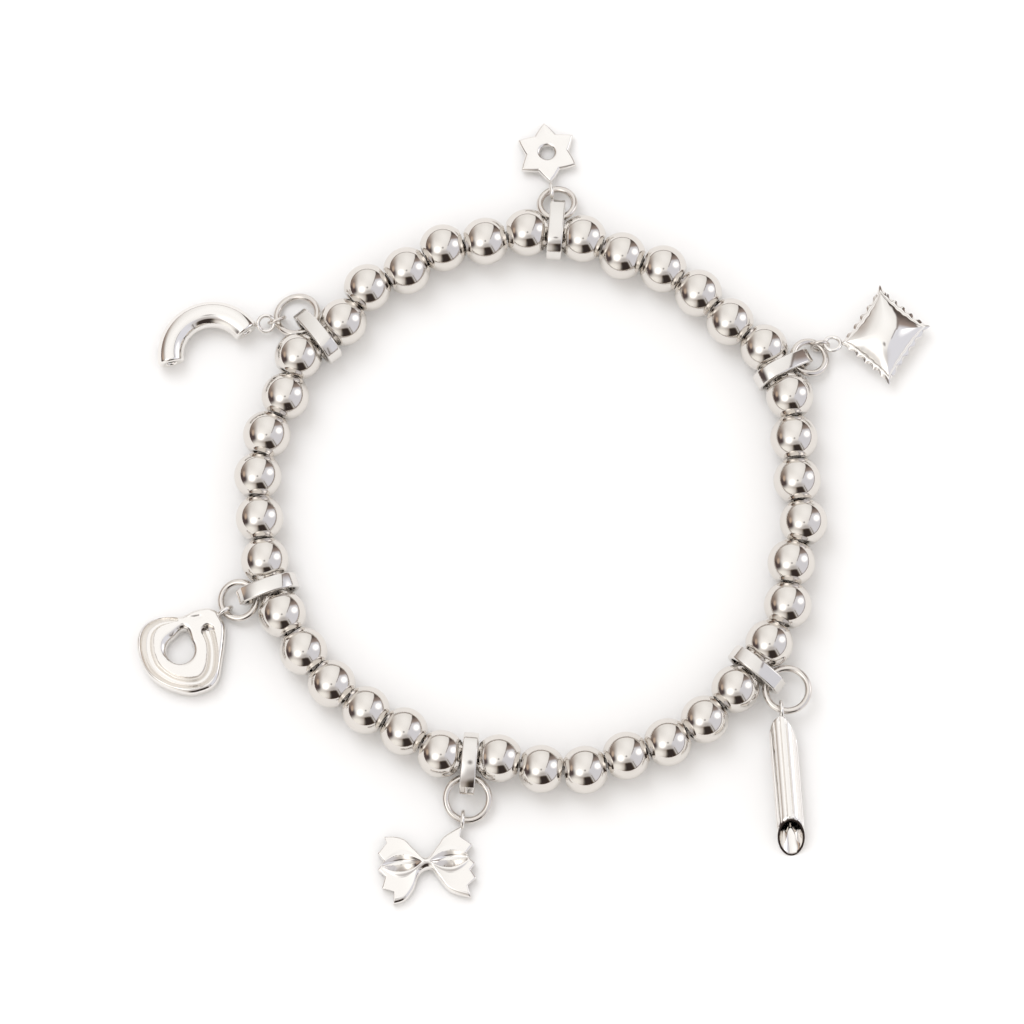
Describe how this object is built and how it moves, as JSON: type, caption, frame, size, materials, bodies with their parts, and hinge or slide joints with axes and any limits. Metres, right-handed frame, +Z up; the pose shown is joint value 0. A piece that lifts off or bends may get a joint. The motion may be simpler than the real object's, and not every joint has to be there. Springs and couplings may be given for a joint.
{
  "type": "charm bracelet",
  "caption": "Stretch bracelet of polished silver beads on an elastic cord, lying as a loop, with pasta-shaped charms and a star charm on jump rings through pointed bails.",
  "frame": {"origin": "under the middle of the bracelet's overall box, on the surface that it lies on", "axes": "+Z up from that surface; +Y towards the star charm; +X to the right of it seen from above, towards the ravioli charm"},
  "size_m": [0.083, 0.0834, 0.005],
  "materials": {
    "silver": "polished",
    "cord": "satin"
  },
  "bodies": {
    "root": {"bead_01": "silver", "bead_02": "silver", "bead_03": "silver", "bead_04": "silver", "bead_05": "silver", "bead_06": "silver", "bead_07": "silver", "bead_08": "silver", "bead_09": "silver", "bead_10": "silver", "bead_11": "silver", "bead_12": "silver", "bead_13": "silver", "bead_14": "silver", "bead_15": "silver", "bead_16": "silver", "bead_17": "silver", "bead_18": "silver", "bead_19": "silver", "bead_20": "silver", "bead_21": "silver", "bead_22": "silver", "bead_23": "silver", "bead_24": "silver", "bead_25": "silver", "bead_26": "silver", "bead_27": "silver", "bead_28": "silver", "bead_29": "silver", "bead_30": "silver", "bead_31": "silver", "bead_32": "silver", "bead_33": "silver", "bead_34": "silver", "bead_35": "silver", "bead_36": "silver", "bead_37": "silver", "bead_38": "silver", "elastic_cord": "cord", "bail_star": "silver", "jump_ring_star": "silver", "charm_star": "silver", "bail_ravioli": "silver", "jump_ring_ravioli": "silver", "link_ravioli": "silver", "charm_ravioli": "silver", "bail_penne": "silver", "jump_ring_penne": "silver", "charm_penne": "silver", "bail_farfalle": "silver", "jump_ring_farfalle": "silver", "charm_farfalle": "silver", "bail_tortellini": "silver", "jump_ring_tortellini": "silver", "charm_tortellini": "silver", "bail_macaroni": "silver", "jump_ring_macaroni": "silver", "link_macaroni": "silver", "charm_macaroni": "silver"}
  },
  "joints": []
}
